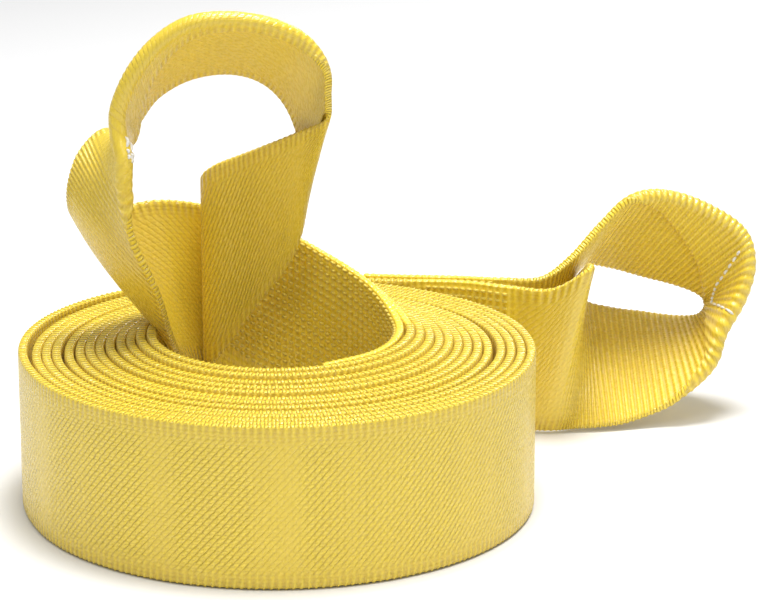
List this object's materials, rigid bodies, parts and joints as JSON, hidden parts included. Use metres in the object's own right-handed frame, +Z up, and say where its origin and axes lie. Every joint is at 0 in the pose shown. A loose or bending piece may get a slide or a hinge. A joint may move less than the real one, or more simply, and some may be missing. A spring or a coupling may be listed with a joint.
{
  "type": "webbing tow strap",
  "caption": "Flat yellow webbing tow strap rolled up on its edge, with a folded, sewn loop eye at each end.",
  "frame": {"origin": "middle of the footprint of the whole strap as it lies, on the surface it stands on", "axes": "+Z up along the roll's axis, +X from the roll towards the eye that lies beside it, +Y away from the viewer"},
  "size_m": [0.369, 0.2816, 0.2441],
  "materials": {
    "yellow_webbing": "woven polyester webbing, slight satin sheen",
    "yellow_thread": "heavy bonded sewing thread",
    "white_thread": "white bonded sewing thread"
  },
  "bodies": {
    "roll": {"rolled_webbing": "yellow_webbing", "core_turns": "yellow_webbing", "inner_splice_inner_ply": "yellow_webbing", "inner_splice_outer_ply": "yellow_webbing", "inner_splice_thread": "yellow_thread"},
    "upper_eye": {"upper_eye_front_leg": "yellow_webbing", "upper_eye_crown": "yellow_webbing", "upper_eye_rear_leg": "yellow_webbing", "upper_eye_fold_seam": "white_thread"},
    "tail": {"tail_webbing": "yellow_webbing", "outer_splice_front_ply": "yellow_webbing", "outer_splice_back_ply": "yellow_webbing", "outer_splice_thread": "yellow_thread", "outer_eye_front_leg": "yellow_webbing", "outer_eye_lower_band": "yellow_webbing", "outer_eye_crown": "yellow_webbing", "outer_eye_back_leg": "yellow_webbing", "outer_eye_fold_seam": "white_thread"}
  },
  "joints": [
    {"name": "upper_eye_lean", "type": "hinge", "parent": "roll", "child": "upper_eye", "pos_m": [-0.0829, 0.0296, 0.036], "axis": [1, 0, 0], "range_deg": [0, 12], "stiffness_Nm_per_rad": 4},
    {"name": "tail_swing", "type": "hinge", "parent": "roll", "child": "tail", "pos_m": [-0.0331, 0.099, 0.0381], "axis": [0, 0, 1], "range_deg": [0, 45], "stiffness_Nm_per_rad": 0.3}
  ]
}
